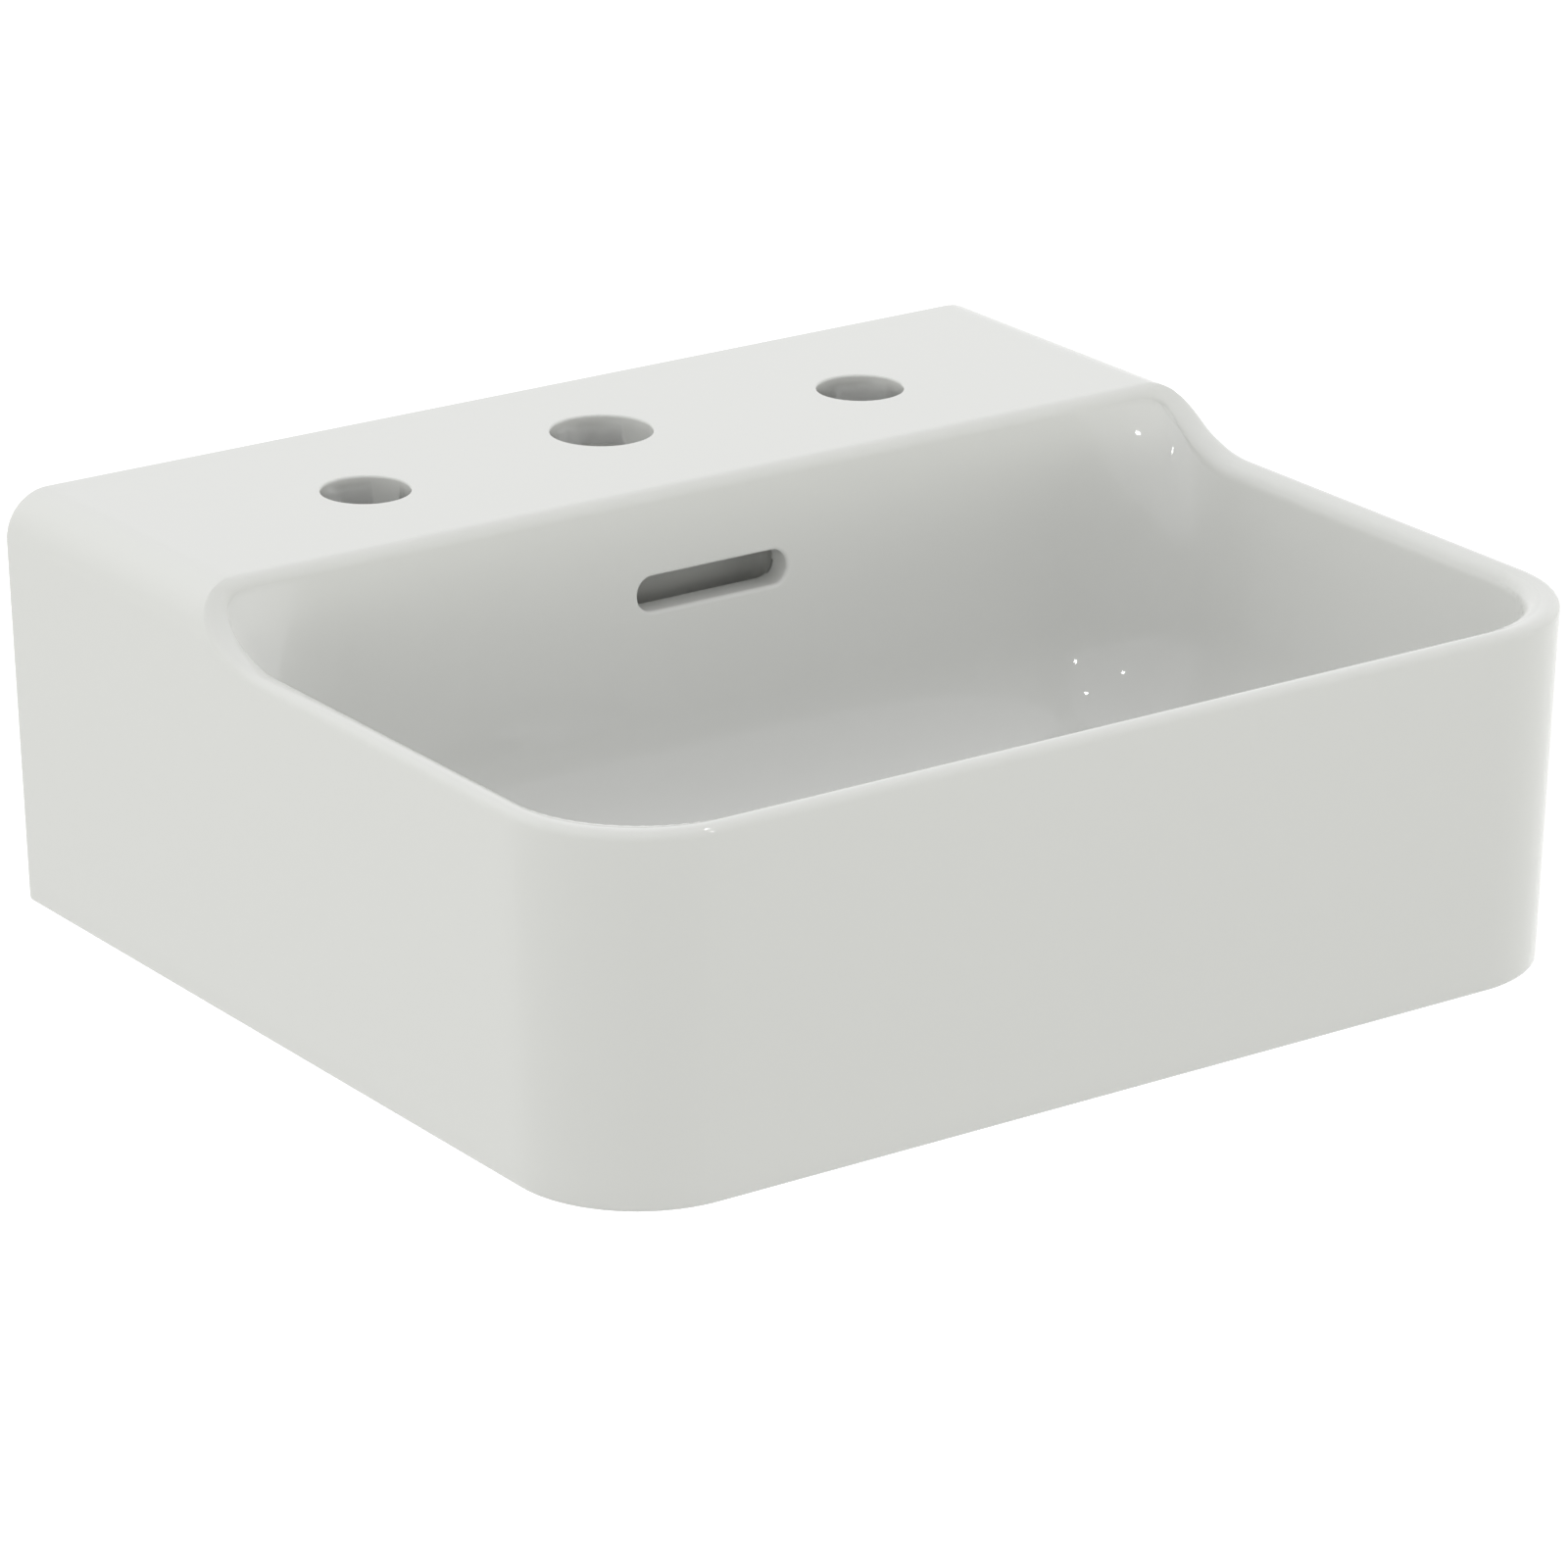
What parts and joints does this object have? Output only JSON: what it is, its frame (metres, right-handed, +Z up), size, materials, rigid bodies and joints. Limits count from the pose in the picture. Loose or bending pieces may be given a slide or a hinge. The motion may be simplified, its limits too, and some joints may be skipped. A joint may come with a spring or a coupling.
{
  "type": "wall-hung hand basin",
  "caption": "Small wall-hung china hand basin with a raised tap deck, stepped thin rim, slot overflow and a push-to-close waste plug.",
  "frame": {"origin": "on the wall face of the basin's back, midway between the two wall bolt holes, 85 mm above the foot", "axes": "+X along the basin's width, +Y into the wall, +Z up; the bowl reaches out towards -Y"},
  "size_m": [0.399, 0.3493, 0.1885],
  "materials": {
    "glazed_china": "glossy white glaze over vitreous china",
    "chromed_brass": "polished chrome plate",
    "plain_brass": "turned, unplated",
    "seal_rubber": "moulded black rubber",
    "white_plastic": "moulded white acetal",
    "spring_steel": "stainless, as drawn"
  },
  "bodies": {
    "root": {"basin_china": "glazed_china", "waste_body": "chromed_brass", "flange_seal": "seal_rubber", "tail_seal": "seal_rubber", "slip_washer": "white_plastic", "back_nut": "plain_brass", "cartridge_sleeve": "plain_brass", "sleeve_cap": "plain_brass"},
    "plug": {"plug_cap": "chromed_brass", "plug_gasket": "seal_rubber", "seal_washer": "spring_steel", "lock_nut": "plain_brass", "plug_stem": "spring_steel", "plunger": "white_plastic", "return_spring": "spring_steel"},
    "indexer": {"cam_ring": "white_plastic"}
  },
  "joints": [
    {"name": "plug_travel", "type": "slide", "parent": "root", "child": "plug", "axis": [0, 0, 1], "range_m": [-0.009, 0], "stiffness_N_per_m": 400, "deforming": ["return_spring"]},
    {"name": "cam_turn", "type": "hinge", "parent": "plug", "child": "indexer", "pos_m": [0, -0.228, -0.088], "axis": [0, 0, 1], "continuous": true}
  ]
}
